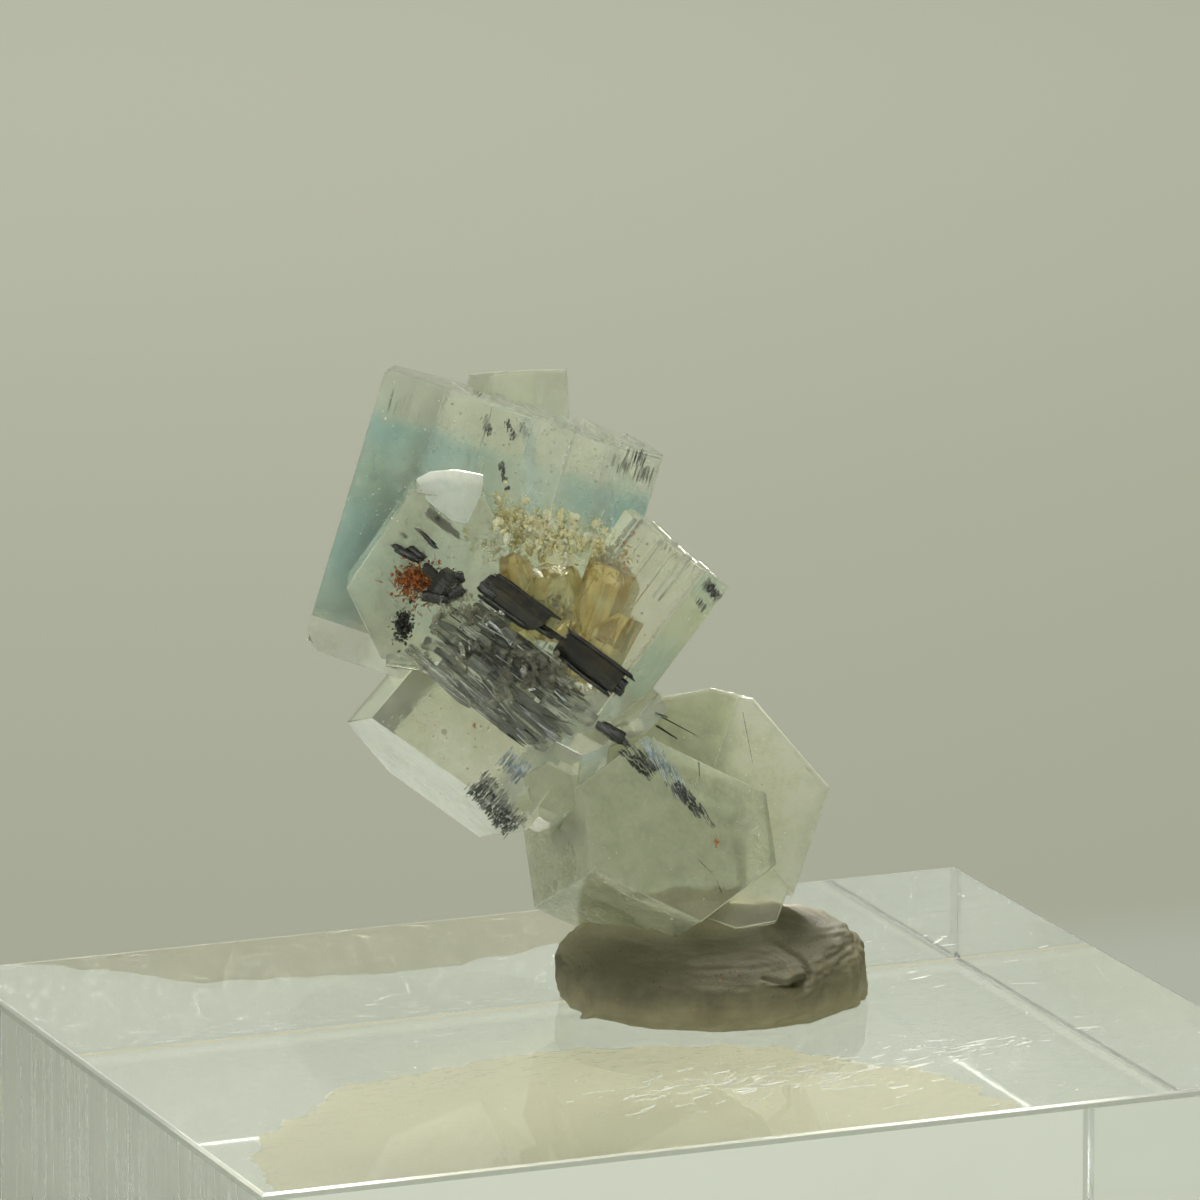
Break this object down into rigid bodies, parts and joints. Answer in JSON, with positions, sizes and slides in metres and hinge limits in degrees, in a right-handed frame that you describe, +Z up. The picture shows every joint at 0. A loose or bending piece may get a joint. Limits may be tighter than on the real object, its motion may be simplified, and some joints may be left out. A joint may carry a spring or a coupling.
{
  "type": "aquamarine specimen on an acrylic block",
  "caption": "Cluster of pale blue aquamarine crystals with black schorl and smoky quartz, held by grey tack on a clear acrylic block.",
  "frame": {"origin": "middle of the block's underside", "axes": "+X along the block's long side, +Y to the back, +Z up; the specimen faces the viewer between -X and -Y"},
  "size_m": [0.05, 0.04, 0.0473],
  "materials": {
    "clear_acrylic": "polished faces, sawn edges",
    "mineral_tack": "soft, matt, kneaded",
    "aquamarine": "vitreous, pale blue to pale green, milky in places",
    "grey_splinter": "vitreous, grey, striated",
    "smoky_quartz": "vitreous, yellow-brown",
    "yellow_crust": "granular, yellow-white",
    "iron_rust": "earthy, orange-brown",
    "schorl": "black, vitreous, striated"
  },
  "bodies": {
    "root": {"acrylic_block": "clear_acrylic", "tack_wad": "mineral_tack", "aquamarine_cluster": "aquamarine", "splinter_bundle": "grey_splinter", "smoky_quartz": "smoky_quartz", "yellow_crust": "yellow_crust", "rust_crust": "iron_rust", "schorl_block": "schorl", "schorl_stub_left": "schorl", "schorl_stub_top": "schorl", "schorl_blade_upper": "schorl", "schorl_blade_lower": "schorl", "schorl_chip": "schorl", "schorl_grains": "schorl"}
  },
  "joints": []
}
